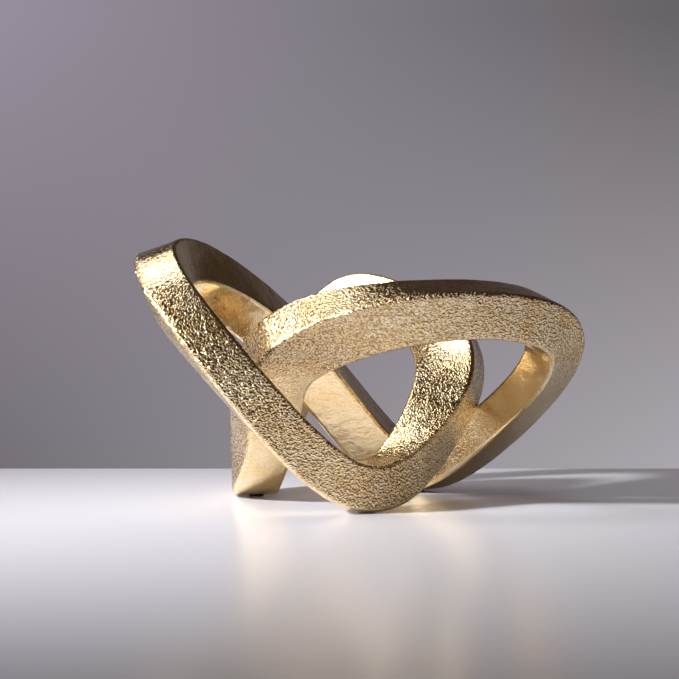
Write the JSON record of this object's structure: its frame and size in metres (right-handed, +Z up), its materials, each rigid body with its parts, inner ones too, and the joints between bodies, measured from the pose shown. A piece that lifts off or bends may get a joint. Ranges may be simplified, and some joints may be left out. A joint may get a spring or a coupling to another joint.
{
  "type": "metal knot sculpture",
  "caption": "Table ornament: a heavy square metal band cast as one closed looping knot with a pebbled gold finish, standing on felt pads under its low bends.",
  "frame": {"origin": "on the resting surface, under the middle of the knot's outline", "axes": "+Z up, +X to the right of the front view along the knot's longest extent, +Y away from the viewer"},
  "size_m": [0.278, 0.2422, 0.1678],
  "materials": {
    "cast_metal": "gold coated, pebbled as cast",
    "dowel_steel": "plain drawn bar",
    "pad_felt": "dense felt"
  },
  "bodies": {
    "root": {"left_lobe": "cast_metal", "back_lobe": "cast_metal", "right_lobe": "cast_metal", "right_knee_dowel": "dowel_steel", "front_knee_dowel": "dowel_steel", "rear_knee_dowel": "dowel_steel", "front_foot_pad": "pad_felt", "left_foot_pad": "pad_felt", "right_foot_pad": "pad_felt"}
  },
  "joints": []
}
